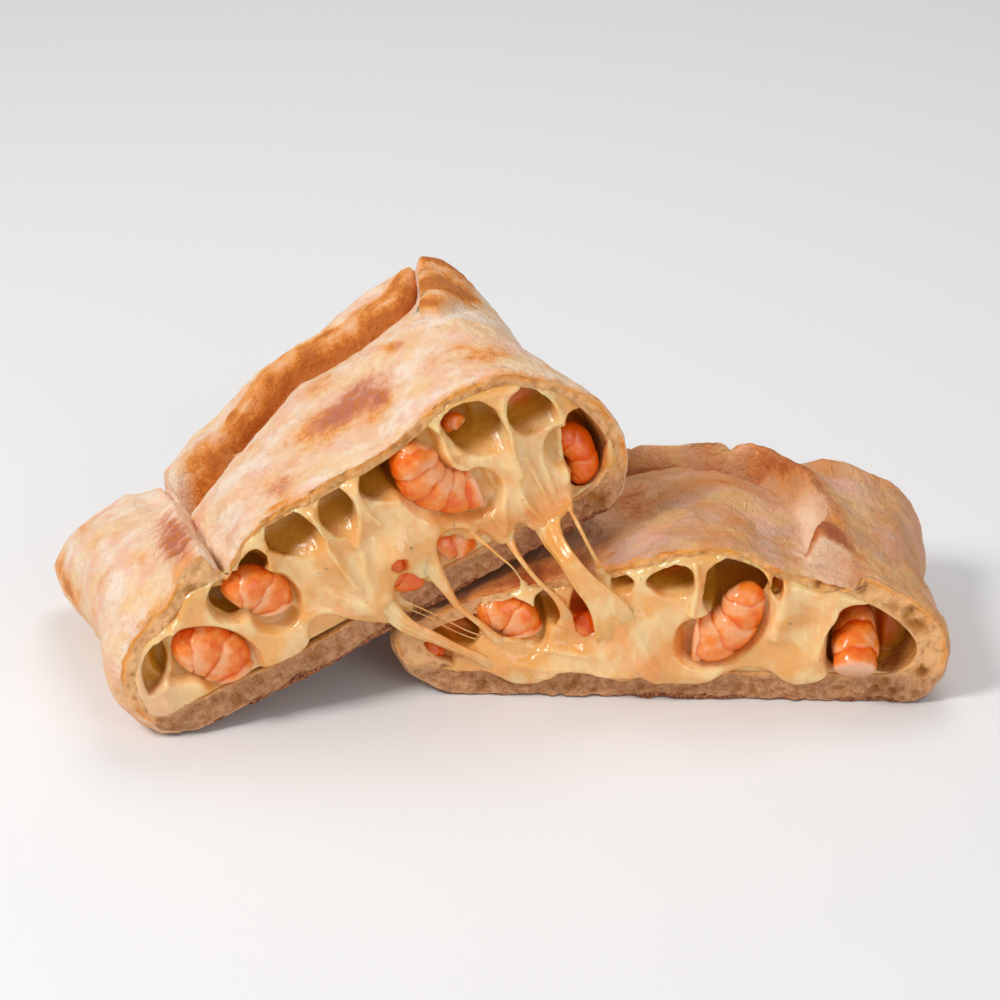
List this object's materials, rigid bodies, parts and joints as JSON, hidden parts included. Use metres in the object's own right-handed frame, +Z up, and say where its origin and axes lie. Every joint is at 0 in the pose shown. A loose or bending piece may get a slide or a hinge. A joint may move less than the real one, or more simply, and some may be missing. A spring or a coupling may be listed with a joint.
{
  "type": "empanada",
  "caption": "Baked envelope-folded empanada cut in two, one half leaning on the other, with shrimp and melted cheese stretching between the cut faces.",
  "frame": {"origin": "on the table, under the middle of the whole empanada's box", "axes": "+X along the cut faces from the leaning half to the flat half, +Y from the cut faces to the back, +Z up"},
  "size_m": [0.255, 0.1276, 0.0971],
  "materials": {
    "crust": "dry baked dough, pale with brown blotches, floury crumb at the cut",
    "cheese": "wet melted cheese, slightly see-through where it is thin",
    "shrimp": "moist cooked shrimp, orange back and pale pink flesh"
  },
  "bodies": {
    "root": {"crust_left": "crust", "cheese_left": "cheese", "shrimp_left_1": "shrimp", "shrimp_left_2": "shrimp", "shrimp_left_3": "shrimp", "shrimp_left_4": "shrimp", "shrimp_left_5": "shrimp", "shrimp_left_6": "shrimp", "shrimp_left_7": "shrimp", "crust_right": "crust", "cheese_right": "cheese", "shrimp_right_1": "shrimp", "shrimp_right_2": "shrimp", "shrimp_right_3": "shrimp", "shrimp_right_4": "shrimp", "shrimp_right_5": "shrimp", "cheese_pull_1": "cheese", "cheese_pull_2": "cheese", "cheese_pull_3": "cheese", "cheese_pull_4": "cheese", "cheese_pull_5": "cheese", "cheese_pull_6": "cheese"}
  },
  "joints": []
}
